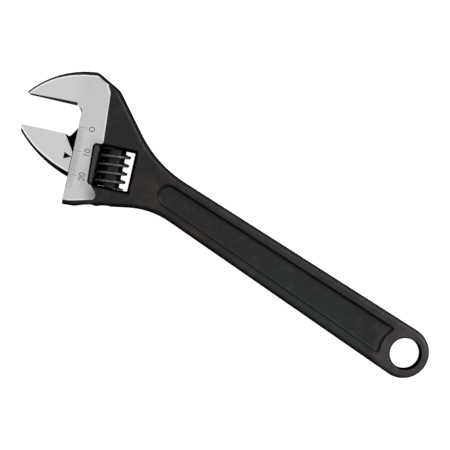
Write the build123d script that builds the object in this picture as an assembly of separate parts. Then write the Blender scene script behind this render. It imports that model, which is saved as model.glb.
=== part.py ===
from build123d import *
import os
from math import acos, atan, cos, degrees, pi, radians, sin, sqrt

# driving dimensions, mm
# Frame: origin at the hang hole's centre on the mid-plane, +X along the handle to the head,
# +Y to the moving jaw's side, +Z out of one flat side.

# handle
END_R = 10.85
END_CENTRE_X = 0.65
UPPER_NECK = (121.3, 8.5)
LOWER_NECK = (129.3, -8.35)
HALF_THICK_HANG_END = 4.0
HALF_THICK_NECK = 5.0
SHOULDER_X0 = 112.0
SHOULDER_X1 = 135.0
SHOULDER_BLEND_R = 300.0
PROFILE_OVERRUN = 2.0
DRAFT = 8.0
FORGED_EDGE_R = 1.8

# hang hole
HANG_R = 6.4
HANG_EDGE_R = 0.5

# recess in both faces of the handle
RECESS_END_R = 10.75
RECESS_HALF_WIDTH_0 = 6.3
RECESS_HALF_WIDTH_1 = 4.5
RECESS_X1 = 122.0
RECESS_END_ROUND = 4.2
RECESS_DEPTH = 1.8
RECESS_DRAFT = 20.0
RECESS_CORNER_R = 1.2
RECESS_FLOOR_R = 0.8
RECESS_LIP = 0.3
RECESS_LIP_BEVEL = 45.0

# head, in its own frame: u toward the jaw tips, v the way the jaw opens
HEAD_X = 160.0
JAW_ANGLE = 21.0
HEAD_HALF_THICK = 5.85
PAD_HALF_THICK = 6.25
PAD_BEVEL = 45.0
SLIDE_U = 3.0
THROAT_V = -11.2
THROAT_U = 5.7
THROAT_R = 2.2
FIXED_FACE_V = -13.85
FIXED_ARC_U = -2.55
FIXED_ARC_V = 9.56
FIXED_ARC_R = 38.6
TAPER_START_U = 2.6
TIP_U = 27.5
NOSE_U = 26.8
NOSE_R = 0.9
NOSE_CUT = 5.0
TIP_HALF_THICK = 3.35
FORGED_HALF_THICK = 6.4
FORGED_TIP_HALF_THICK = 4.1
TAPER_BLEND_R = 30.0

# window for the worm
WINDOW_BACK_U = -22.3
WINDOW_V0 = 0.6
WINDOW_V1 = 17.0
WINDOW_FRONT_U0 = -4.95
WINDOW_FRONT_U1 = -5.9
WINDOW_CORNER_R = 1.2
WINDOW_BACK_CORNER_R = 0.6
WINDOW_CHAMFER = 0.25
WINDOW_BEVEL = 40.0

# keyhole way for the jaw's shank
WAY_U = -5.25
WAY_R = 4.65
WAY_V0 = -19.3
WAY_SLOT_HALF = 2.35
WAY_SLOT_V0 = -18.6
WAY_SLOT_U1 = 5.9
BEYOND = 40.0

# moving jaw, drawn at an opening of 13 mm
OPENING = 12.85
SHANK_R = 4.5
SHANK_V0 = -6.0
SHANK_V1 = 20.5
SHANK_CHAMFER = 0.6
WEB_HALF = 2.2
JAW_BACK_U = 3.15
JAW_ARC_U = -11.77
JAW_ARC_V = -33.71
JAW_ARC_R = 52.28
JAW_TIP_U = 26.7
RACK_PITCH = 3.5
RACK_FIRST_V = 1.27
RACK_FIRST = -2
RACK_LAST = 5
RACK_BOTTOM_U = -7.4
RACK_MOUTH_HALF = 1.06
RACK_BOTTOM_HALF = 0.65

# worm
WORM_U = -14.05
WORM_V0 = 0.7
WORM_V1 = 16.9
WORM_R = 6.55
WORM_ROOT_R = 4.27
WORM_BORE_R = 2.06
RIDGE_CREST_HALF = 0.45
RIDGE_ROOT_HALF = 0.85
RIDGE_CREST_R = 0.25
RIDGE_V = 4.77
WORM_CHAMFER_LOW = 0.5
WORM_CHAMFER_HIGH = 0.5
SPRING_WELL_R = 3.15
SPRING_WELL_DEPTH = 8.0

# worm pin
PIN_R = 2.0
PIN_V0 = -4.9
PIN_SEAT_V0 = -5.1
PIN_SEAT_R = 2.03
PIN_THREAD_V0 = 17.9
PIN_V1 = 24.2
PIN_THREAD_R = 2.45
PIN_THREAD_ROOT_R = 2.1
PIN_THREAD_PITCH = 0.8
PIN_RIDGE_ROOT_HALF = 0.36
PIN_RIDGE_CREST_HALF = 0.08
PIN_RIDGE_CREST_R = 0.04
PIN_HOLE_R = 2.5
PIN_SLOT_WIDTH = 0.9
PIN_SLOT_DEPTH = 1.2

# spring
SPRING_MEAN_R = 2.6
SPRING_WIRE_R = 0.3
SPRING_TURNS = 6.0
SPRING_GAP = 0.03

# the head frame turned by the jaw angle
COS_A = cos(radians(JAW_ANGLE))
SIN_A = sin(radians(JAW_ANGLE))
HEAD_PLANE = Plane(origin=(HEAD_X, 0, 0), x_dir=(COS_A, SIN_A, 0), z_dir=(0, 0, 1))


def head(u, v):
    """Head-frame point as row X, Y."""
    return (HEAD_X + u * COS_A - v * SIN_A, u * SIN_A + v * COS_A)


def round_corners(face, corners):
    """Round the outline's corner nearest each point with its own radius."""
    for (x, y), r in corners:
        corner = face.vertices().sort_by_distance((x, y, 0))[0]
        face = fillet(corner, r)
    return face


def in_head(shape):
    """Head-frame solid moved to the row's frame."""
    return HEAD_PLANE.location * shape


def fixed_arc(u):
    """Point on the fixed jaw's outer arc."""
    return (u, FIXED_ARC_V - sqrt(FIXED_ARC_R**2 - (u - FIXED_ARC_U) ** 2))


def both_ways(face, height, taper):
    """Prism to both sides of the mid-plane, drafted."""
    up = extrude(face, height, taper=taper)
    return up + mirror(up, Plane.XY)


def end_tangent(point):
    """Where a straight side coming from the point meets the hang end's circle."""
    dx = point[0] - END_CENTRE_X
    side = 1 if point[1] > 0 else -1
    reach = sqrt(dx**2 + point[1] ** 2)
    toward = atan(point[1] / dx)
    angle = toward + side * acos(END_R / reach)
    return (END_CENTRE_X + END_R * cos(angle), END_R * sin(angle))


def forging_outline():
    """Outline at the parting line, drawn past the faces that are machined later."""
    tip_v = FIXED_FACE_V + 1.5
    tip_u = FIXED_ARC_U + sqrt(FIXED_ARC_R**2 - (tip_v - FIXED_ARC_V) ** 2)
    tip = head(tip_u, tip_v)
    crown = head(*fixed_arc(0.2))
    mid = head(*fixed_arc(16.0))
    shoulder = head(-10.3, -23.5)
    lower_neck = LOWER_NECK
    upper_neck = UPPER_NECK
    brow = head(-8.5, 25.95)
    cap_0 = head(-2.2, 27.85)
    cap_1 = head(SLIDE_U + 1.5, 28.15)
    start = end_tangent(lower_neck)
    finish = end_tangent(upper_neck)
    with BuildSketch() as sk:
        with BuildLine():
            ThreePointArc(start, (END_CENTRE_X - END_R, 0), finish)
            Polyline(finish, upper_neck, brow, cap_0, cap_1, head(SLIDE_U + 1.5, THROAT_V), tip)
            ThreePointArc(tip, mid, crown)
            Polyline(crown, shoulder, lower_neck, start)
        make_face()
    corners = [
        (upper_neck, 33.0),
        (brow, 30.0),
        (cap_0, 8.0),
        (crown, 3.5),
        (shoulder, 8.0),
        (lower_neck, 50.0),
    ]
    return round_corners(sk.sketch, corners)


def handle_and_head_profile():
    """Side view of the forging, thickening from the hang end to the head."""
    end_x = END_CENTRE_X - END_R - PROFILE_OVERRUN
    half = [
        (end_x, HALF_THICK_HANG_END),
        (SHOULDER_X0, HALF_THICK_NECK),
        (SHOULDER_X1, HEAD_HALF_THICK),
        (HEAD_X + BEYOND + 20.0, HEAD_HALF_THICK),
    ]
    other = [(x, -z) for x, z in reversed(half)]
    with BuildSketch(Plane.XZ) as sk:
        with BuildLine():
            Polyline(*half, *other, close=True)
        make_face()
    face = sk.sketch
    for x, z in half[1:3] + other[1:3]:
        corner = face.vertices().sort_by_distance((x, 0, z))[0]
        face = fillet(corner, SHOULDER_BLEND_R)
    return extrude(face, BEYOND, both=True)


def pad_outline():
    """Edge of the ground flat, left open where it runs out to the head's rim."""
    points = [
        (8.0, 26.5),
        (0.0, 26.1),
        (-5.0, 24.8),
        (-9.8, 23.5),
        (-10.5, 21.6),
        (-9.6, 19.6),
        (-8.2, 18.2),
        (-7.2, 16.6),
        (-7.2, 1.0),
        (-8.9, -0.4),
        (-7.35, -21.5),
        (-4.2, -27.2),
        (-3.0, -34.0),
        (34.0, -34.0),
        (34.0, 26.5),
    ]
    radii = [0, 9, 9, 1.2, 1.2, 1.2, 0.8, 0, 0, 0.8, 4.0, 4.0, 0, 0, 0]
    with BuildSketch() as sk:
        with BuildLine():
            FilletPolyline(*points, radius=radii, close=True)
        make_face()
    return sk.sketch


def pads():
    """Raised ground flats on both sides of the head, with a sloping edge."""
    rise = PAD_HALF_THICK - HEAD_HALF_THICK
    foot = Pos(0, 0, HEAD_HALF_THICK) * pad_outline()
    up = extrude(pad_outline(), HEAD_HALF_THICK) + extrude(foot, rise, taper=PAD_BEVEL)
    return in_head(up + mirror(up, Plane.XY))


def thickness_envelope(half_thick, tip_half_thick):
    """Head-frame u-z envelope that thins both jaws toward their tips."""
    slope = (half_thick - tip_half_thick) / (TIP_U - TAPER_START_U)
    half = [
        (-190.0, half_thick),
        (TAPER_START_U, half_thick),
        (TIP_U + 5.0, tip_half_thick - 5.0 * slope),
    ]
    other = [(u, -z) for u, z in reversed(half)]
    radii = [0, TAPER_BLEND_R, 0, 0, TAPER_BLEND_R, 0]
    with BuildSketch(Plane.XZ) as sk:
        with BuildLine():
            FilletPolyline(*half, *other, radius=radii, close=True)
        make_face()
    return extrude(sk.sketch, 130.0, both=True)


def forged_envelope():
    """Thickness as forged, before the flats are ground."""
    return thickness_envelope(FORGED_HALF_THICK, FORGED_TIP_HALF_THICK)


def ground_envelope():
    """Thickness once the flats are ground."""
    return thickness_envelope(PAD_HALF_THICK, TIP_HALF_THICK)


def jaw_gap():
    """Cut that machines the slide face, the throat, the fixed jaw's working face and its nose."""
    points = [
        (SLIDE_U, BEYOND),
        (SLIDE_U, THROAT_V),
        (THROAT_U, FIXED_FACE_V),
        (NOSE_U, FIXED_FACE_V),
        (NOSE_U, FIXED_FACE_V - NOSE_CUT),
        (BEYOND, FIXED_FACE_V - NOSE_CUT),
        (BEYOND, BEYOND),
    ]
    radii = [0, THROAT_R, 0.8, NOSE_R, 0, 0, 0]
    with BuildSketch() as sk:
        with BuildLine():
            FilletPolyline(*points, radius=radii, close=True)
        make_face()
    return in_head(extrude(sk.sketch, 10.0, both=True))


def window():
    """Opening through the head that holds the worm."""
    points = [
        (WINDOW_BACK_U, WINDOW_V0),
        (WINDOW_FRONT_U0, WINDOW_V0),
        (WINDOW_FRONT_U1, WINDOW_V1),
        (WINDOW_BACK_U, WINDOW_V1),
    ]
    radii = [WINDOW_BACK_CORNER_R, WINDOW_CORNER_R, WINDOW_CORNER_R, WINDOW_BACK_CORNER_R]
    with BuildSketch() as sk:
        with BuildLine():
            FilletPolyline(*points, radius=radii, close=True)
        make_face()
    rim = HEAD_HALF_THICK - WINDOW_CHAMFER
    flare = extrude(Pos(0, 0, rim) * sk.sketch, 1.0, taper=-WINDOW_BEVEL)
    tool = extrude(sk.sketch, 10.0, both=True) + flare + mirror(flare, Plane.XY)
    return in_head(tool)


def along_v(u, r, v0, v1):
    """Cylinder lying along the opening direction."""
    plane = Plane(origin=(u, v0, 0), x_dir=(1, 0, 0), z_dir=(0, 1, 0))
    return extrude(plane * Circle(r), v1 - v0)


def shank_way():
    """Bore and slot the moving jaw's shank slides in, open at the head's outer end."""
    bore = along_v(WAY_U, WAY_R, WAY_V0, BEYOND)
    slot_length = BEYOND - WAY_SLOT_V0
    slot = Pos((WAY_U + WAY_SLOT_U1) / 2, WAY_SLOT_V0 + slot_length / 2, 0) * Box(
        WAY_SLOT_U1 - WAY_U, slot_length, 2 * WAY_SLOT_HALF
    )
    return in_head(bore + slot)


def pin_holes():
    """Through hole for the pin's threaded head and blind seat for its point."""
    clearance = along_v(WORM_U, PIN_HOLE_R, WINDOW_V1 - 1.0, BEYOND)
    seat = along_v(WORM_U, PIN_SEAT_R, PIN_SEAT_V0, WINDOW_V0 + 1.0)
    return in_head(clearance + seat)


def recess_outline():
    """Outline of the handle's recess, hollowed round the hang hole."""
    hollow_x = sqrt(RECESS_END_R**2 - RECESS_HALF_WIDTH_0**2)
    lower = (hollow_x, -RECESS_HALF_WIDTH_0)
    upper = (hollow_x, RECESS_HALF_WIDTH_0)
    far_upper = (RECESS_X1, RECESS_HALF_WIDTH_1)
    far_lower = (RECESS_X1, -RECESS_HALF_WIDTH_1)
    with BuildSketch() as sk:
        with BuildLine():
            ThreePointArc(lower, (RECESS_END_R, 0), upper)
            Polyline(upper, far_upper, far_lower, lower)
        make_face()
    corners = [
        (upper, RECESS_CORNER_R),
        (lower, RECESS_CORNER_R),
        (far_upper, RECESS_END_ROUND),
        (far_lower, RECESS_END_ROUND),
    ]
    return round_corners(sk.sketch, corners)


def recess():
    """Drafted pocket with a flared lip, its floor parallel to the handle's tapering face."""
    end_x = END_CENTRE_X - END_R - PROFILE_OVERRUN
    slope = (HALF_THICK_NECK - HALF_THICK_HANG_END) / (SHOULDER_X0 - end_x)
    face_z = HALF_THICK_HANG_END - slope * end_x
    face_plane = Plane(origin=(0, 0, face_z), x_dir=(1, 0, slope), z_dir=(-slope, 0, 1))
    outline = Pos(0, 0, -RECESS_LIP) * recess_outline()
    well = extrude(outline, RECESS_LIP - RECESS_DEPTH, taper=RECESS_DRAFT)
    floor_edges = well.faces().sort_by(Axis.Z)[0].edges()
    well = fillet(floor_edges, RECESS_FLOOR_R)
    lip = extrude(outline, RECESS_LIP + 0.8, taper=-RECESS_LIP_BEVEL)
    return face_plane.location * (well + lip)


def face_edges(solid, x_max):
    """Edges running round the upper and lower sides, from the hang end to x_max."""
    edges = []
    for edge in solid.edges():
        box = edge.bounding_box()
        steep = box.size.Z > 0.5 * edge.length
        outer = min(abs(box.min.Z), abs(box.max.Z)) > 0.7 * HALF_THICK_HANG_END
        if outer and not steep and box.max.X < x_max:
            edges.append(edge)
    return edges


def forged_blank():
    """Forging with rounded edges, the handle's recesses and the hang hole."""
    raw = both_ways(forging_outline(), PAD_HALF_THICK, DRAFT) & handle_and_head_profile()
    rounded = fillet(face_edges(raw, HEAD_X + BEYOND), FORGED_EDGE_R)
    drilled = rounded - Cylinder(HANG_R, 30)
    hole_edges = [e for e in face_edges(drilled, HANG_R + 0.1) if e.bounding_box().min.X > -HANG_R - 0.1]
    drilled = fillet(hole_edges, HANG_EDGE_R)
    pocket = recess()
    return drilled - pocket - mirror(pocket, Plane.XY)


def ground_blank():
    """Head and fixed jaw with rounded forged rims, kept only where the flats are ground."""
    raw = both_ways(forging_outline(), FORGED_HALF_THICK + 0.5, DRAFT) & in_head(forged_envelope())
    rounded = fillet(face_edges(raw, HEAD_X + BEYOND), FORGED_EDGE_R)
    return rounded & pads()


def body():
    """Forged handle, head and fixed jaw in one piece."""
    pad_block = in_head(extrude(pad_outline(), 10.0, both=True))
    blank = (forged_blank() - pad_block) + ground_blank()
    blank = blank & in_head(ground_envelope())
    return blank - jaw_gap() - window() - shank_way() - pin_holes()


def jaw_arc(u):
    """Point on the moving jaw's outer arc."""
    return (u, JAW_ARC_V + sqrt(JAW_ARC_R**2 - (u - JAW_ARC_U) ** 2))


def jaw_block():
    """Moving jaw's block outside the head, drafted on its outer arc only."""
    face_v = FIXED_FACE_V + OPENING
    back_top = jaw_arc(JAW_BACK_U - 2.0)
    mid = jaw_arc(16.0)
    tip_top = jaw_arc(JAW_TIP_U)
    with BuildSketch() as outline:
        with BuildLine():
            ThreePointArc(back_top, mid, tip_top)
            Polyline(tip_top, (JAW_TIP_U + 0.3, face_v - 1.5))
            Polyline((JAW_TIP_U + 0.3, face_v - 1.5), (JAW_BACK_U - 2.0, face_v - 1.5), back_top)
        make_face()
    raw = both_ways(outline.sketch, FORGED_HALF_THICK + 0.5, DRAFT) & forged_envelope()
    rim = []
    for edge in face_edges(raw, BEYOND):
        centre = edge.center()
        if centre.Y > face_v and centre.X > JAW_BACK_U:
            rim.append(edge)
    block = fillet(rim, FORGED_EDGE_R)
    trim = [
        (JAW_BACK_U, BEYOND),
        (JAW_BACK_U, face_v + 6.9),
        (7.3, face_v + 0.7),
        (7.7, face_v),
        (BEYOND, face_v),
        (BEYOND, BEYOND),
    ]
    with BuildSketch() as keep:
        with BuildLine():
            FilletPolyline(*trim, radius=[0, 1.5, 0.5, 0.2, 0, 0], close=True)
        make_face()
    return block & extrude(keep.sketch, 10.0, both=True)


def shank():
    """Round shank with rack teeth cut to the worm's lead, and the web that joins it to the jaw."""
    face_v = FIXED_FACE_V + OPENING
    bar = along_v(WAY_U, SHANK_R, SHANK_V0, SHANK_V1)
    bar = chamfer(bar.edges().filter_by(GeomType.CIRCLE), SHANK_CHAMFER)
    lead_angle = degrees(atan(RACK_PITCH / (2 * pi * (WAY_U - WORM_U - 3.45))))
    points = [
        (WAY_U - SHANK_R - 0.6, -RACK_MOUTH_HALF),
        (RACK_BOTTOM_U, -RACK_BOTTOM_HALF),
        (RACK_BOTTOM_U, RACK_BOTTOM_HALF),
        (WAY_U - SHANK_R - 0.6, RACK_MOUTH_HALF),
    ]
    with BuildSketch() as sk:
        with BuildLine():
            Polyline(*points, close=True)
        make_face()
    groove = Rot(lead_angle, 0, 0) * extrude(sk.sketch, 8.0, both=True)
    for k in range(RACK_FIRST, RACK_LAST + 1):
        v = RACK_FIRST_V + k * RACK_PITCH
        bar = bar - Pos(0, v, 0) * groove
    web = [
        (WAY_U, SHANK_V0 + 0.6),
        (2.2, SHANK_V0 + 0.6),
        (3.1, face_v - 3.9),
        (5.6, face_v + 0.1),
        (9.0, face_v + 2.0),
        (9.0, face_v + 12.0),
        (JAW_BACK_U, face_v + 16.4),
        (2.6, SHANK_V1 - 0.6),
        (WAY_U, SHANK_V1 - 0.6),
    ]
    with BuildSketch() as sk:
        with BuildLine():
            FilletPolyline(*web, radius=[0, 0.6, 1.0, 0.3, 0.3, 0.3, 0.5, 0.6, 0], close=True)
        make_face()
    return bar + extrude(sk.sketch, WEB_HALF, both=True)


def moving_jaw():
    """Moving jaw with its block, web and toothed shank in one piece."""
    return in_head((jaw_block() & ground_envelope()) + shank())


def helical_ridge(root_r, crest_r, root_half, crest_half, crest_round, pitch, v0, v1, crest_v):
    """Right-hand helical ridge about the v axis, its crest crossing +u at crest_v."""
    turns_below = 0
    while crest_v - turns_below * pitch > v0 - pitch:
        turns_below = turns_below + 1
    start_v = crest_v - turns_below * pitch
    height = v1 + pitch - start_v
    path = Helix(pitch, height, (root_r + crest_r) / 2)
    points = [
        (root_r, -root_half),
        (crest_r, -crest_half),
        (crest_r, crest_half),
        (root_r, root_half),
    ]
    with BuildSketch(Plane.XZ) as sk:
        with BuildLine():
            FilletPolyline(*points, radius=[0, crest_round, crest_round, 0], close=True)
        make_face()
    ridge = sweep(sk.sketch, path=path, is_frenet=True)
    upright = Plane(origin=(0, start_v, 0), x_dir=(1, 0, 0), z_dir=(0, 1, 0))
    return upright.location * ridge


def revolved_about_v(points):
    """Solid of revolution about the v axis from (radius, v) points."""
    with BuildSketch(Plane.XY) as sk:
        with BuildLine():
            Polyline(*points, close=True)
        make_face()
    return revolve(sk.sketch, Axis.Y)


def worm():
    """Adjusting worm: single-start right-hand ridge on a bored core."""
    ridge = helical_ridge(
        WORM_ROOT_R - 0.4,
        WORM_R,
        RIDGE_ROOT_HALF,
        RIDGE_CREST_HALF,
        RIDGE_CREST_R,
        RACK_PITCH,
        WORM_V0,
        WORM_V1,
        RIDGE_V,
    )
    limits = [
        (0, WORM_V0),
        (WORM_R + 0.1 - WORM_CHAMFER_LOW, WORM_V0),
        (WORM_R + 0.1, WORM_V0 + WORM_CHAMFER_LOW),
        (WORM_R + 0.1, WORM_V1 - WORM_CHAMFER_HIGH),
        (WORM_R + 0.1 - WORM_CHAMFER_HIGH, WORM_V1),
        (0, WORM_V1),
    ]
    core = along_v(0, WORM_ROOT_R, WORM_V0, WORM_V1)
    solid = core + (ridge & revolved_about_v(limits))
    bore = along_v(0, WORM_BORE_R, WORM_V0 - 1, WORM_V1 + 1)
    well = along_v(0, SPRING_WELL_R, WORM_V0 - 1, WORM_V0 + SPRING_WELL_DEPTH)
    return in_head(Pos(WORM_U, 0, 0) * (solid - bore - well))


def worm_pin():
    """Plain pin with a threaded, slotted head."""
    limits = [
        (0, PIN_V0),
        (PIN_R - 0.4, PIN_V0),
        (PIN_R, PIN_V0 + 0.4),
        (PIN_R, PIN_THREAD_V0),
        (PIN_THREAD_R + 0.1, PIN_THREAD_V0 + 0.5),
        (PIN_THREAD_R + 0.1, PIN_V1 - 0.4),
        (PIN_THREAD_ROOT_R - 0.1, PIN_V1),
        (0, PIN_V1),
    ]
    ridge = helical_ridge(
        PIN_THREAD_ROOT_R - 0.3,
        PIN_THREAD_R,
        PIN_RIDGE_ROOT_HALF,
        PIN_RIDGE_CREST_HALF,
        PIN_RIDGE_CREST_R,
        PIN_THREAD_PITCH,
        PIN_THREAD_V0,
        PIN_V1,
        PIN_THREAD_V0 + 0.5,
    )
    core = along_v(0, PIN_THREAD_ROOT_R, PIN_V0 - 1, PIN_V1 + 1)
    solid = (core + ridge) & revolved_about_v(limits)
    slot = Pos(0, PIN_V1, 0) * Box(8, 2 * PIN_SLOT_DEPTH, PIN_SLOT_WIDTH)
    return in_head(Pos(WORM_U, 0, 0) * (solid - slot))


def worm_spring():
    """Compression spring between the worm and the window's inner end."""
    v0 = WINDOW_V0 + SPRING_GAP + SPRING_WIRE_R
    v1 = WORM_V0 + SPRING_WELL_DEPTH - SPRING_GAP - SPRING_WIRE_R
    pitch = (v1 - v0) / SPRING_TURNS
    path = Helix(pitch, v1 - v0, SPRING_MEAN_R)
    with BuildSketch(Plane.XZ) as sk:
        with Locations((SPRING_MEAN_R, 0)):
            Circle(SPRING_WIRE_R)
    coil = sweep(sk.sketch, path=path, is_frenet=True)
    upright = Plane(origin=(WORM_U, v0, 0), x_dir=(1, 0, 0), z_dir=(0, 1, 0))
    return in_head(upright.location * coil)


os.makedirs("parts", exist_ok=True)
export_step(body(), "parts/body.step")
export_step(moving_jaw(), "parts/moving_jaw.step")
export_step(worm(), "parts/worm.step")
export_step(worm_pin(), "parts/worm_pin.step")
export_step(worm_spring(), "parts/worm_spring.step")
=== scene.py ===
import math
import bmesh
import bpy
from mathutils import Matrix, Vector


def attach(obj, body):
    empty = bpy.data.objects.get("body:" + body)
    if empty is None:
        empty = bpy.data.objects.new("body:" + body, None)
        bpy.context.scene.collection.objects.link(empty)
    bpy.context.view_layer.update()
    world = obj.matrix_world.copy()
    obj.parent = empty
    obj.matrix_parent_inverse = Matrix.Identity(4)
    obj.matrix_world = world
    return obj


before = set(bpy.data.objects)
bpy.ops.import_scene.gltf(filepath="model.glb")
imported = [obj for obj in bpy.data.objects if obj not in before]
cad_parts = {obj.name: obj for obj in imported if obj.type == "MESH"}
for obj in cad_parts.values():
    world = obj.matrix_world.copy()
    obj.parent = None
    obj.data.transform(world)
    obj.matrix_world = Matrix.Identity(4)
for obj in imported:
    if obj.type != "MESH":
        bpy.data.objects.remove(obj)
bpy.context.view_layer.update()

mm = 0.001
print("frame loaded, pieces:", sorted(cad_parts))

# the head's own frame: u runs to the jaw tips, v the way the jaw opens
head = {
    "x": 160.0,
    "angle": 21.0,
    "padHeight": 6.25,
    "taperStart": 2.6,
    "taperSlope": 0.1165,
    "blendFrom": 0.85,  # the flats start to fall here, on a 30 mm radius
    "blendTo": 4.35,
    "blendRadius": 30.0,
}
headCos = math.cos(math.radians(head["angle"]))
headSin = math.sin(math.radians(head["angle"]))


def headToRow(u, v, z=0.0):
    x = head["x"] + u * headCos - v * headSin
    y = u * headSin + v * headCos
    return Vector((x * mm, y * mm, z * mm))


def flatHeight(u):
    # height of the ground flats above the mid-plane
    if u < head["blendFrom"]:
        return head["padHeight"]
    if u < head["blendTo"]:
        return head["padHeight"] - (u - head["blendFrom"]) ** 2 / (2 * head["blendRadius"])
    return head["padHeight"] - (u - head["taperStart"]) * head["taperSlope"]


# small helpers for building node trees
def newMaterial(name):
    mat = bpy.data.materials.new(name)
    mat.use_nodes = True
    tree = mat.node_tree
    tree.nodes.clear()
    out = tree.nodes.new("ShaderNodeOutputMaterial")
    shader = tree.nodes.new("ShaderNodeBsdfPrincipled")
    tree.links.new(shader.outputs["BSDF"], out.inputs["Surface"])
    return mat, tree, shader


def feed(tree, socket, value):
    # a socket is linked, a number or colour is set
    if isinstance(value, bpy.types.NodeSocket):
        tree.links.new(value, socket)
    elif isinstance(value, tuple) and len(value) == 3 and len(socket.default_value) == 4:
        socket.default_value = (*value, 1.0)
    else:
        socket.default_value = value


def calc(tree, operation, a, b=0.0):
    node = tree.nodes.new("ShaderNodeMath")
    node.operation = operation
    feed(tree, node.inputs[0], a)
    feed(tree, node.inputs[1], b)
    return node.outputs[0]


def times(tree, *values):
    result = values[0]
    for value in values[1:]:
        result = calc(tree, "MULTIPLY", result, value)
    return result


def ramp(tree, value, low, high, fromLow=0.0, fromHigh=1.0):
    # low below fromLow, high above fromHigh, a smooth change between
    node = tree.nodes.new("ShaderNodeMapRange")
    node.interpolation_type = "SMOOTHSTEP"
    for socket, number in zip(node.inputs, (value, fromLow, fromHigh, low, high)):
        feed(tree, socket, number)
    return node.outputs[0]


def mixColour(tree, share, a, b):
    node = tree.nodes.new("ShaderNodeMix")
    node.data_type = "RGBA"
    feed(tree, node.inputs[0], share)
    feed(tree, node.inputs[6], a)
    feed(tree, node.inputs[7], b)
    return node.outputs[2]


def mixValue(tree, share, a, b):
    node = tree.nodes.new("ShaderNodeMix")
    node.data_type = "FLOAT"
    feed(tree, node.inputs[0], share)
    feed(tree, node.inputs[2], a)
    feed(tree, node.inputs[3], b)
    return node.outputs[0]


def headCoordinates(tree):
    # object coordinates turned into the head's frame, in millimetres
    place = tree.nodes.new("ShaderNodeTexCoord")
    turn = tree.nodes.new("ShaderNodeMapping")
    turn.vector_type = "TEXTURE"
    turn.inputs["Location"].default_value = (head["x"] * mm, 0.0, 0.0)
    turn.inputs["Rotation"].default_value = (0.0, 0.0, math.radians(head["angle"]))
    turn.inputs["Scale"].default_value = (mm, mm, mm)
    tree.links.new(place.outputs["Object"], turn.inputs["Vector"])
    return turn.outputs[0]


def handleCoordinates(tree):
    # object coordinates in millimetres: x along the handle from the hang hole
    place = tree.nodes.new("ShaderNodeTexCoord")
    scaled = tree.nodes.new("ShaderNodeMapping")
    scaled.inputs["Scale"].default_value = (1 / mm, 1 / mm, 1 / mm)
    tree.links.new(place.outputs["Object"], scaled.inputs["Vector"])
    return scaled.outputs[0]


def apart(tree, vector):
    node = tree.nodes.new("ShaderNodeSeparateXYZ")
    tree.links.new(vector, node.inputs[0])
    return node.outputs


def stretched(tree, vector, scale):
    node = tree.nodes.new("ShaderNodeMapping")
    node.inputs["Scale"].default_value = scale
    tree.links.new(vector, node.inputs["Vector"])
    return node.outputs[0]


def noise(tree, vector, scale, detail=3.0, rough=0.5, distortion=0.0):
    node = tree.nodes.new("ShaderNodeTexNoise")
    tree.links.new(vector, node.inputs["Vector"])
    node.inputs["Scale"].default_value = scale
    node.inputs["Detail"].default_value = detail
    node.inputs["Roughness"].default_value = rough
    node.inputs["Distortion"].default_value = distortion
    return node.outputs[0]


def relief(tree, shader, height, strength=1.0):
    # height in millimetres
    node = tree.nodes.new("ShaderNodeBump")
    node.inputs["Strength"].default_value = strength
    node.inputs["Distance"].default_value = mm
    feed(tree, node.inputs["Height"], height)
    tree.links.new(node.outputs[0], shader.inputs["Normal"])


def distanceFromCentre(tree, a, b, centreA, centreB):
    offA = calc(tree, "SUBTRACT", a, centreA)
    offB = calc(tree, "SUBTRACT", b, centreB)
    total = calc(tree, "ADD", calc(tree, "MULTIPLY", offA, offA), calc(tree, "MULTIPLY", offB, offB))
    return calc(tree, "SQRT", total)


# black phosphated forging with ground flats
steel = {
    "black": (0.0085, 0.0076, 0.0076),
    "blackWarm": (0.020, 0.0145, 0.0115),
    "blackCool": (0.0085, 0.0125, 0.0135),
    # worn hang end, also the colour of the painted highlight on the handle's rims
    "hangWearAndRimLight": (0.040, 0.036, 0.034),
    # painted highlight on the shank's top inside the window
    "shankHighlight": (0.05, 0.05, 0.052),
    "blackPale": (0.030, 0.028, 0.027),
    "blackRough": (0.36, 0.52),
    "ground": (0.565, 0.565, 0.565),
    # painted light on the tapered jaw flats
    "groundSlopeLit": (0.635, 0.635, 0.635),
    "groundDull": (0.50, 0.50, 0.502),
    "groundBright": (0.93, 0.93, 0.93),
    "groundRough": (0.26, 0.34),
    # painted shade beside the window
    "groundWindowShade": (0.39, 0.39, 0.39),
    "groundBand": (0.43, 0.43, 0.425),
    # painted shade in the back corner
    "groundCornerShade": (0.16, 0.16, 0.16),
    # painted shade: the near-black laid wherever shade is painted, its roughness two lines down
    "paintedShade": (0.0025, 0.0025, 0.0028),
    "shankShade": (0.003, 0.003, 0.0032),
    "shadeRough": 0.8,
    # roughness of the shank inside the head, under its painted highlight
    "shankRough": 0.24,
    "groundTo": 0.22,  # how far under the flats the grinding reached
    "scaleBand": (0.2, -5.2, 21.4),  # u from, v from, v to
    "windowCentre": (-14.0, 8.8),
    "windowHalf": (8.45, 8.2),
    "specular": 0.19,
}

# each jaw, in the head's frame
fixedJaw = {
    "arc": (-2.55, 9.56, 38.6),  # outer arc: centre u, centre v, radius
    "rim": (1.9, 1.15),  # black rim along the arc, at the root and at the tip
    "side": (-12.0, -13.0),  # v where the rim starts and where it is full
    "face": -13.85,
    "edges": [  # lines along which the flat catches the light
        ((-7.35, -21.5), (-8.8, -1.0)),
        ((-4.6, -26.4), (-7.2, -20.6)),
        ((-9.8, 23.6), (3.0, 26.7)),
    ],
}
movingJaw = {
    "arc": (-11.77, -33.71, 52.28),
    "rim": (1.95, 1.15),
    "side": (-3.0, -2.0),
    "face": None,
    "edges": [],
}


def lineDistance(tree, u, v, start, end):
    # signed distance to the line from start to end, positive on its right-hand side
    length = math.dist(start, end)
    across = ((end[1] - start[1]) / length, -(end[0] - start[0]) / length)
    offset = across[0] * start[0] + across[1] * start[1]
    total = calc(tree, "ADD", calc(tree, "MULTIPLY", u, across[0]), calc(tree, "MULTIPLY", v, across[1]))
    return calc(tree, "SUBTRACT", total, offset)


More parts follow.
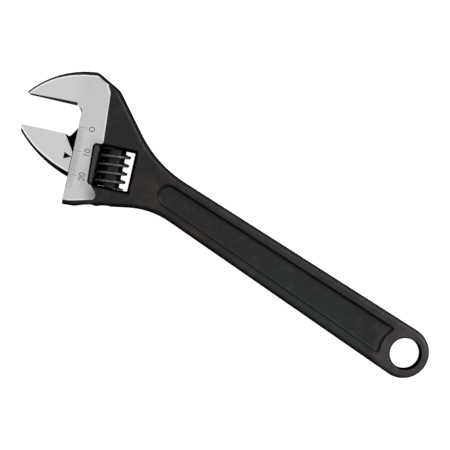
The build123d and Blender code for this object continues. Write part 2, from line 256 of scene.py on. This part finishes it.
def windowDistance(tree, u, v, settings):
    # how far outside the worm's window a point lies, negative inside
    offU = calc(tree, "ABSOLUTE", calc(tree, "SUBTRACT", u, settings["windowCentre"][0]))
    offV = calc(tree, "ABSOLUTE", calc(tree, "SUBTRACT", v, settings["windowCentre"][1]))
    pastU = calc(tree, "SUBTRACT", offU, settings["windowHalf"][0])
    pastV = calc(tree, "SUBTRACT", offV, settings["windowHalf"][1])
    return calc(tree, "MAXIMUM", pastU, pastV)


def groundArea(tree, u, v, z, settings, jaw):
    # where the steel was ground: close under the flats' height, facing up or down, inside the black rims
    normal = tree.nodes.new("ShaderNodeNewGeometry")
    facing = apart(tree, normal.outputs["Normal"])
    beyond = calc(tree, "MAXIMUM", calc(tree, "SUBTRACT", u, head["taperStart"]), 0.0)
    flat = calc(tree, "SUBTRACT", head["padHeight"], calc(tree, "MULTIPLY", beyond, head["taperSlope"]))
    under = calc(tree, "SUBTRACT", flat, calc(tree, "ABSOLUTE", z))
    level = ramp(tree, under, 1.0, 0.0, settings["groundTo"] - 0.06, settings["groundTo"] + 0.06)
    upright = ramp(tree, calc(tree, "ABSOLUTE", facing[2]), 0.0, 1.0, 0.72, 0.86)
    ahead = ramp(tree, u, 0.0, 1.0, -14.0, -13.5)
    centreU, centreV, radius = jaw["arc"]
    inward = calc(tree, "SUBTRACT", radius, distanceFromCentre(tree, u, v, centreU, centreV))
    onArcSide = ramp(tree, v, 0.0, 1.0, jaw["side"][0], jaw["side"][1])
    rimWidth = ramp(tree, u, jaw["rim"][0], jaw["rim"][1], 2.0, 24.0)
    pastRim = calc(tree, "SUBTRACT", inward, rimWidth)
    rim = times(tree, ramp(tree, pastRim, 1.0, 0.0, -0.08, 0.08), onArcSide)
    glint = times(tree, ramp(tree, pastRim, 0.0, 1.0, 0.02, 0.12),
                  ramp(tree, pastRim, 1.0, 0.0, 0.3, 0.75), onArcSide)
    keep = calc(tree, "SUBTRACT", 1.0, rim)
    for start, end in jaw["edges"]:
        inside = lineDistance(tree, u, v, start, end)
        nearLine = times(tree, ramp(tree, inside, 1.0, 0.0, 0.65, 1.0),
                         ramp(tree, inside, 0.0, 1.0, -0.8, -0.5))
        low, high = min(start[1], end[1]), max(start[1], end[1])
        along = times(tree, ramp(tree, v, 0.0, 1.0, low, low + 0.4),
                      ramp(tree, v, 1.0, 0.0, high - 0.4, high))
        glint = calc(tree, "MAXIMUM", glint, times(tree, nearLine, along, 0.55))
    if jaw["face"] is not None:
        belowFace = calc(tree, "SUBTRACT", jaw["face"], v)
        strip = ramp(tree, u, 0.7, 0.35, 8.0, 25.0)
        nearFace = ramp(tree, calc(tree, "SUBTRACT", belowFace, strip), 1.0, 0.0, -0.06, 0.06)
        edge = times(tree, nearFace, ramp(tree, u, 0.0, 1.0, 5.2, 5.5),
                     ramp(tree, belowFace, 0.0, 1.0, -0.6, -0.4))
        keep = times(tree, keep, calc(tree, "SUBTRACT", 1.0, edge))
    return times(tree, level, upright, ahead, keep), glint


def steelFinish(name, settings, jaw, shadedShank=False):
    mat, tree, shader = newMaterial(name)
    uvz = headCoordinates(tree)
    u, v, z = apart(tree, uvz)
    ground, glint = groundArea(tree, u, v, z, settings, jaw)

    # black phosphate: warm and cool clouds, a fine crystal grain
    clouds = noise(tree, uvz, 0.055, 3.0, 0.55)
    patches = noise(tree, stretched(tree, uvz, (0.6, 1.0, 1.0)), 0.09, 2.0, 0.5, 0.4)
    blotches = noise(tree, uvz, 0.22, 4.0, 0.6, 0.3)
    crystals = noise(tree, uvz, 5.5, 2.0, 0.6)
    warmShare = ramp(tree, clouds, 0.0, 0.75, 0.50, 0.68)
    black = mixColour(tree, warmShare, settings["black"], settings["blackWarm"])
    x, y, _ = apart(tree, handleCoordinates(tree))
    towardHang = times(tree, ramp(tree, x, 1.0, 0.0, 48.0, 90.0), ramp(tree, x, 0.0, 1.0, 10.0, 20.0))
    coolShare = times(tree, ramp(tree, patches, 0.25, 1.0, 0.40, 0.62), towardHang)
    black = mixColour(tree, coolShare, black, settings["blackCool"])
    black = mixColour(tree, ramp(tree, blotches, 0.0, 0.45, 0.50, 0.75), black, settings["blackPale"])
    black = mixColour(tree, ramp(tree, crystals, 0.0, 0.5, 0.55, 0.8), black, settings["blackPale"])

    # handling has greyed the hang end; the handle's rims get a painted highlight, brightest on the -Y
    # side
    holeDistance = distanceFromCentre(tree, x, y, 0.0, 0.0)
    wearAndRimLight = ramp(tree, holeDistance, 0.75, 0.0, 11.0, 15.5)
    sideways = calc(tree, "ABSOLUTE", y)
    onRim = times(tree, ramp(tree, sideways, 0.0, 1.0, 5.6, 6.6), ramp(tree, x, 1.0, 0.0, 95.0, 125.0))
    lit = ramp(tree, y, 0.45, 0.25, -2.0, 2.0)
    rimHighlight = times(tree, onRim, lit, ramp(tree, clouds, 0.5, 1.0, 0.42, 0.6))
    wearAndRimLight = calc(tree, "MAXIMUM", wearAndRimLight, rimHighlight)
    # carries both the hang end's wear and the rims' painted highlight
    worn = times(tree, wearAndRimLight, ramp(tree, blotches, 0.65, 1.0, 0.35, 0.6))
    black = mixColour(tree, worn, black, settings["hangWearAndRimLight"])

    # painted shade round the worm's window, darkest close to its edge
    past = windowDistance(tree, u, v, settings)
    paintedShade = ramp(tree, calc(tree, "ADD", past, times(tree, calc(tree, "SUBTRACT", blotches, 0.5), 1.2)),
                 1.0, 0.0, 0.6, 1.6)
    # painted shade: the hole's bevel and the side faces are darkened
    boreShade = ramp(tree, holeDistance, 1.0, 0.0, 6.7, 7.0)
    normal = tree.nodes.new("ShaderNodeNewGeometry")
    tilt = calc(tree, "ABSOLUTE", apart(tree, normal.outputs["Normal"])[2])
    sideShade = ramp(tree, tilt, 0.2, 0.0, 0.30, 0.80)
    shade = calc(tree, "MAXIMUM", calc(tree, "MAXIMUM", paintedShade, boreShade), sideShade)
    # painted shade darkens the shank where it shows in the throat and deep in the head; a painted
    # highlight strip lightens its top just inside the window
    if shadedShank:
        shade = times(tree, ramp(tree, u, 0.0, 1.0, -1.0, 0.0), ramp(tree, u, 1.0, 0.0, 7.2, 7.6))
        shankInHead = ramp(tree, u, 1.0, 0.0, -1.0, 0.0)
        shankShadeAndHighlight = mixColour(tree, ramp(tree, u, 0.0, 1.0, -7.6, -6.4), settings["shankShade"],
                          settings["shankHighlight"])
        black = mixColour(tree, shankInHead, black, shankShadeAndHighlight)
        # painted shade on the jaw's side faces past the throat
        shade = calc(tree, "MAXIMUM", shade, times(tree, ramp(tree, u, 0.0, 1.0, 7.4, 7.8), sideShade))
    # painted shade: all the shade masks darken the black toward near-black here
    black = mixColour(tree, shade, black, settings["paintedShade"])

    # ground steel: fine lines along the jaws, faint clouding; painted light makes the tapered jaw flats
    # lighter, painted shade darkens the flats beside the window and toward the back corner
    lines = noise(tree, stretched(tree, uvz, (4.0, 0.05, 1.0)), 1.2, 4.0, 0.6)
    haze = noise(tree, uvz, 0.12, 3.0, 0.5)
    lineShare = ramp(tree, lines, 0.0, 0.3, 0.40, 0.72)
    silver = mixColour(tree, lineShare, settings["ground"], settings["groundDull"])
    silver = mixColour(tree, ramp(tree, haze, 0.0, 0.45, 0.45, 0.75), silver, settings["groundDull"])
    # painted light: the flats lighter where they taper down the jaws
    silver = mixColour(tree, ramp(tree, u, 0.0, 0.8, 1.0, 9.0), silver, settings["groundSlopeLit"])
    # painted shade on the flats next to the window
    silver = mixColour(tree, ramp(tree, past, 0.6, 0.0, 0.2, 4.2), silver, settings["groundWindowShade"])
    bandFrom, bandLow, bandHigh = settings["scaleBand"]
    band = times(tree, ramp(tree, u, 0.0, 1.0, bandFrom - 0.25, bandFrom + 0.25),
                 ramp(tree, v, 0.0, 1.0, bandLow, bandLow + 0.5),
                 ramp(tree, v, 1.0, 0.0, bandHigh - 0.4, bandHigh))
    bandTone = times(tree, band, ramp(tree, haze, 0.35, 0.75, 0.35, 0.65))
    if not shadedShank:
        silver = mixColour(tree, bandTone, silver, settings["groundBand"])
        # painted shade toward the back corner of the flats
        cornerShade = times(tree, ramp(tree, u, 1.0, 0.0, -10.5, -3.0), ramp(tree, v, 0.0, 1.0, 15.5, 19.5),
                       ramp(tree, v, 1.0, 0.0, 22.0, 25.5))
        silver = mixColour(tree, times(tree, cornerShade, 0.85), silver, settings["groundCornerShade"])
    silver = mixColour(tree, times(tree, glint, 0.9), silver, settings["groundBright"])

    tree.links.new(mixColour(tree, ground, black, silver), shader.inputs["Base Color"])
    metal = calc(tree, "MAXIMUM", ground, shade)
    if shadedShank:
        metal = calc(tree, "MAXIMUM", metal, shankInHead)
    tree.links.new(metal, shader.inputs["Metallic"])
    blackRough = ramp(tree, crystals, *settings["blackRough"], 0.3, 0.75)
    blackRough = mixValue(tree, shade, blackRough, settings["shadeRough"])
    if shadedShank:
        blackRough = mixValue(tree, shankInHead, blackRough, settings["shankRough"])
    groundRough = ramp(tree, lines, *settings["groundRough"], 0.3, 0.75)
    tree.links.new(mixValue(tree, ground, blackRough, groundRough), shader.inputs["Roughness"])
    shader.inputs["Specular IOR Level"].default_value = settings["specular"]

    # forging scale and crystals on the black, grinding lines on the flats
    scale = noise(tree, uvz, 0.35, 4.0, 0.55)
    rough = calc(tree, "ADD", times(tree, scale, 0.2), times(tree, crystals, 0.02))
    relief(tree, shader, mixValue(tree, ground, rough, times(tree, lines, 0.010)))
    return mat


def giveFinish(node, mat):
    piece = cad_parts[node]
    for slot in piece.material_slots:
        slot.link = "OBJECT"
        slot.material = mat
    if not piece.material_slots:
        piece.data.materials.append(mat)


giveFinish("body", steelFinish("black_phosphate_and_ground_steel", steel, fixedJaw))
giveFinish("moving_jaw", steelFinish("ground_jaw_steel", steel, movingJaw, shadedShank=True))
print("body and jaw finished")

# worm, its pin and its spring
worm = {
    "colour": (0.003, 0.0042, 0.0045),
    "worn": (0.19, 0.19, 0.195),
    "specular": 0.22,
    "rough": (0.20, 0.34),
    "radius": 6.5,
    "axisU": -14.05,
}


def wormFinish(settings):
    mat, tree, shader = newMaterial("black_oxide_worm")
    uvz = headCoordinates(tree)
    u, _, z = apart(tree, uvz)
    radius = distanceFromCentre(tree, u, z, settings["axisU"], 0.0)
    grain = noise(tree, uvz, 3.0, 3.0, 0.6)
    rubbed = times(tree, ramp(tree, radius, 0.0, 1.0, settings["radius"] - 0.4, settings["radius"]),
                   ramp(tree, grain, 0.1, 0.6, 0.35, 0.65))
    colour = mixColour(tree, rubbed, settings["colour"], settings["worn"])
    tree.links.new(colour, shader.inputs["Base Color"])
    tree.links.new(ramp(tree, grain, *settings["rough"], 0.3, 0.7), shader.inputs["Roughness"])
    tree.links.new(times(tree, rubbed, 0.7), shader.inputs["Metallic"])
    shader.inputs["Specular IOR Level"].default_value = settings["specular"]
    relief(tree, shader, times(tree, grain, 0.02), 0.6)
    return mat


def plainSteel(name, colour, rough):
    mat, tree, shader = newMaterial(name)
    grain = noise(tree, headCoordinates(tree), 4.0, 3.0, 0.6)
    dull = tuple(c * 0.6 for c in colour)
    tree.links.new(mixColour(tree, grain, colour, dull), shader.inputs["Base Color"])
    tree.links.new(ramp(tree, grain, rough, rough + 0.15, 0.3, 0.7), shader.inputs["Roughness"])
    shader.inputs["Metallic"].default_value = 1.0
    relief(tree, shader, times(tree, grain, 0.02), 0.5)
    return mat


giveFinish("worm", wormFinish(worm))
giveFinish("worm_pin", plainSteel("dark_pin_steel", (0.12, 0.12, 0.125), 0.35))
giveFinish("worm_spring", plainSteel("spring_wire", (0.35, 0.35, 0.36), 0.3))
print("worm, pin and spring finished")

# millimetre scale on the head, opening mark on the moving jaw
marks = {
    "proud": 0.012,
    "sunk": 0.06,
    "tickWidth": 0.14,
    "fine": (0.5, 2.8),
    "long": (-0.9, 2.9),
    "zeroV": -5.0,
    "lastTick": 25,
    "figureU": -2.75,
    "figureHeight": 2.15,
    "zeroWidth": 1.75,
    "figureWidth": 1.3,
    "stroke": 0.4,
    "figureInk": (0.15, 0.15, 0.15),
    "tickInk": (0.33, 0.33, 0.33),
    "arrowInk": (0.002, 0.002, 0.002),
}


def etchedFinish(name, colour, metallic):
    mat, tree, shader = newMaterial(name)
    grain = noise(tree, headCoordinates(tree), 3.5, 2.0, 0.5)
    pale = tuple(c * 1.5 for c in colour)
    tree.links.new(mixColour(tree, grain, colour, pale), shader.inputs["Base Color"])
    tree.links.new(ramp(tree, grain, 0.45, 0.7, 0.3, 0.7), shader.inputs["Roughness"])
    shader.inputs["Metallic"].default_value = metallic
    shader.inputs["Specular IOR Level"].default_value = 0.25
    return mat


def markPiece(name, strips, settings, mat, body):
    # each strip is two rows of head-frame points side by side; it follows the flats as they fall
    mesh = bpy.data.meshes.new(name)
    bm = bmesh.new()
    for left, right in strips:
        rows = []
        for (u0, v0), (u1, v1) in zip(left, right):
            top = [(u0, v0, settings["proud"]), (u1, v1, settings["proud"])]
            under = [(u1, v1, -settings["sunk"]), (u0, v0, -settings["sunk"])]
            places = [headToRow(u, v, flatHeight(u) + lift) for u, v, lift in top + under]
            rows.append([bm.verts.new(place) for place in places])
        for a, b in zip(rows, rows[1:]):
            for k in range(4):
                bm.faces.new((a[k], a[(k + 1) % 4], b[(k + 1) % 4], b[k]))
        bm.faces.new(rows[0])
        bm.faces.new(list(reversed(rows[-1])))
    bmesh.ops.recalc_face_normals(bm, faces=bm.faces)
    bm.to_mesh(mesh)
    bm.free()
    piece = bpy.data.objects.new(name, mesh)
    bpy.context.scene.collection.objects.link(piece)
    mesh.materials.append(mat)
    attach(piece, body)
    return piece


def tickStrip(u0, u1, v, width, steps=4):
    us = [u0 + (u1 - u0) * k / steps for k in range(steps + 1)]
    return [(u, v - width / 2) for u in us], [(u, v + width / 2) for u in us]


def strokeStrip(points, width, closed=False):
    # a pen stroke of even width along the points, mitred at its bends
    count = len(points)
    left, right = [], []
    for k in range(count + 1 if closed else count):
        here = Vector(points[k % count])
        before = Vector(points[(k - 1) % count]) if closed or k > 0 else None
        after = Vector(points[(k + 1) % count]) if closed or k < count - 1 else None
        runs = [(here - before).normalized()] if before is not None else []
        runs += [(after - here).normalized()] if after is not None else []
        across = [Vector((-run.y, run.x)) for run in runs]
        side = sum(across, Vector((0.0, 0.0))).normalized()
        reach = width / 2 / max(side.dot(across[0]), 0.5)
        left.append(tuple(here + side * reach))
        right.append(tuple(here - side * reach))
    return left, right


def oval(width, height, squareness=2.3, steps=24):
    points = []
    for k in range(steps):
        turn = 2 * math.pi * k / steps
        c, s = math.cos(turn), math.sin(turn)
        x = math.copysign(abs(c) ** (2 / squareness), c) * width / 2
        y = math.copysign(abs(s) ** (2 / squareness), s) * height / 2
        points.append((x, y))
    return points


def figureStrip(figure, u, v, width, settings):
    # figures read toward -v, with their tops toward +u
    w, h = width / 2, settings["figureHeight"] / 2
    if figure == "0":
        points = oval(width, settings["figureHeight"])
    elif figure == "1":
        points = [(-w * 0.6, h * 0.5), (w * 0.1, h), (w * 0.1, -h)]
    else:
        arch = [(-w, h * 0.4), (-w * 0.8, h * 0.8), (0.0, h),
                (w * 0.8, h * 0.8), (w, h * 0.4), (w * 0.7, 0.0)]
        points = arch + [(-w, -h), (w, -h)]
    placed = [(u + y, v - x) for x, y in points]
    return strokeStrip(placed, settings["stroke"], figure == "0")


def buildScale(settings):
    ticks, longTicks = [], []
    for k in range(settings["lastTick"] + 1):
        v = settings["zeroV"] + k
        if k % 10 == 0:
            longTicks.append(tickStrip(*settings["long"], v, settings["tickWidth"]))
        else:
            ticks.append(tickStrip(*settings["fine"], v, settings["tickWidth"]))
    tickMat = etchedFinish("etched_ticks", settings["tickInk"], 1.0)
    markPiece("scale_ticks", ticks, settings, tickMat, "wrench_body")
    u = settings["figureU"]
    figures = longTicks + [figureStrip("0", u, settings["zeroV"], settings["zeroWidth"], settings)]
    for tens, first in ((1, "1"), (2, "2")):
        v = settings["zeroV"] + 10 * tens
        figures.append(figureStrip(first, u, v + 0.9, settings["figureWidth"], settings))
        figures.append(figureStrip("0", u, v - 0.9, settings["figureWidth"], settings))
    figureMat = etchedFinish("etched_figures", settings["figureInk"], 1.0)
    markPiece("scale_figures", figures, settings, figureMat, "wrench_body")


def buildArrow(settings):
    ink = etchedFinish("arrow_black", settings["arrowInk"], 1.0)
    left = [(3.2, 7.90), (4.35, 7.40), (5.35, 6.97), (6.4, 6.5)]
    right = [(3.2, 7.96), (4.35, 8.44), (5.35, 8.86), (6.4, 9.3)]
    markPiece("jaw_index_mark", [(left, right)], settings, ink, "jaw")


buildScale(marks)
buildArrow(marks)
print("scale and arrow made")

# floor, light and camera
stage = {
    "floorColour": (0.3, 0.3, 0.3),
    "floorGlow": 1.0,
    "floorReach": 2500.0,
    "headRest": (148.0, -6.56),  # x and z where the head touches the floor
    "handleRest": (-6.0, -4.06),
    "skyTop": 1.0,
    "skyRim": 0.10,
    "skyBelow": 0.02,
    "skyLean": (-0.12, -0.28),  # brighter toward the fixed jaw's side and the hang end
    "lampPlace": (-0.75, -1.0, 1.0),  # metres from the middle of the wrench
    "lampSize": 0.45,
    "lampPower": 19.0,
}


def buildFloor(settings):
    # the wrench lies on its head and the end of its handle, so the floor leans a little
    (x1, z1), (x0, z0) = settings["headRest"], settings["handleRest"]
    slope = (z1 - z0) / (x1 - x0)
    mesh = bpy.data.meshes.new("floor")
    bm = bmesh.new()
    reach = settings["floorReach"]
    corners = [(-reach, -reach), (reach, -reach), (reach, reach), (-reach, reach)]
    places = [Vector((x, y, z0 + slope * (x - x0))) * mm for x, y in corners]
    bm.faces.new([bm.verts.new(place) for place in places])
    bm.to_mesh(mesh)
    bm.free()
    floor = bpy.data.objects.new("floor", mesh)
    bpy.context.scene.collection.objects.link(floor)
    mat, tree, shader = newMaterial("pale_floor")
    shader.inputs["Base Color"].default_value = (*settings["floorColour"], 1.0)
    shader.inputs["Roughness"].default_value = 0.9
    shader.inputs["Specular IOR Level"].default_value = 0.0
    shader.inputs["Emission Color"].default_value = (1.0, 1.0, 1.0, 1.0)
    shader.inputs["Emission Strength"].default_value = settings["floorGlow"]
    mesh.materials.append(mat)
    floor.visible_diffuse = False  # the pale floor throws no light back up at the steel
    floor.visible_glossy = False


def buildSky(settings):
    # one big soft light overhead, fading to dark below the bench
    world = bpy.data.worlds.new("studio")
    world.use_nodes = True
    tree = world.node_tree
    backdrop = tree.nodes["Background"]
    place = tree.nodes.new("ShaderNodeTexCoord")
    x, y, rise = apart(tree, place.outputs["Generated"])
    leanX, leanY = settings["skyLean"]
    lean = calc(tree, "ADD", times(tree, x, leanX), times(tree, y, leanY))
    upper = ramp(tree, calc(tree, "ADD", rise, lean), settings["skyRim"], settings["skyTop"], 0.05, 0.85)
    lower = ramp(tree, rise, settings["skyBelow"], 1.0, -0.12, 0.02)
    tree.links.new(calc(tree, "MULTIPLY", upper, lower), backdrop.inputs["Strength"])
    backdrop.inputs["Color"].default_value = (1.0, 1.0, 1.0, 1.0)
    bpy.context.scene.world = world


def buildLamp(settings):
    # a soft box low on the fixed jaw's side, for the glints along the rims and the worm
    data = bpy.data.lights.new("soft_box", "AREA")
    data.shape = "SQUARE"
    data.size = settings["lampSize"]
    data.energy = settings["lampPower"]
    lamp = bpy.data.objects.new("soft_box", data)
    middle = Vector((90 * mm, 0.0, 0.0))
    lamp.location = middle + Vector(settings["lampPlace"])
    lamp.rotation_euler = Vector(settings["lampPlace"]).to_track_quat("Z", "Y").to_euler()
    bpy.context.scene.collection.objects.link(lamp)


# straight above the middle of the wrench, millimetres and degrees
camera = {
    "x": 91.7,
    "y": -3.1,
    "height": 694.0,
    "turn": -146.42,
    "lens": 133.3,
    "sensor": 36.0,
    "near": 0.01,  # metres
    "far": 20.0,
}


def buildCamera(settings):
    data = bpy.data.cameras.new("camera")
    data.lens = settings["lens"]
    data.sensor_width = settings["sensor"]
    data.dof.use_dof = False
    data.clip_start = settings["near"]
    data.clip_end = settings["far"]
    cam = bpy.data.objects.new("camera", data)
    cam.location = Vector((settings["x"], settings["y"], settings["height"])) * mm
    cam.rotation_euler = (0.0, 0.0, math.radians(settings["turn"]))
    bpy.context.scene.collection.objects.link(cam)
    bpy.context.scene.camera = cam


buildFloor(stage)
buildSky(stage)
buildLamp(stage)
buildCamera(camera)
bpy.context.scene.view_settings.view_transform = "Standard"
print("floor, light and camera placed")
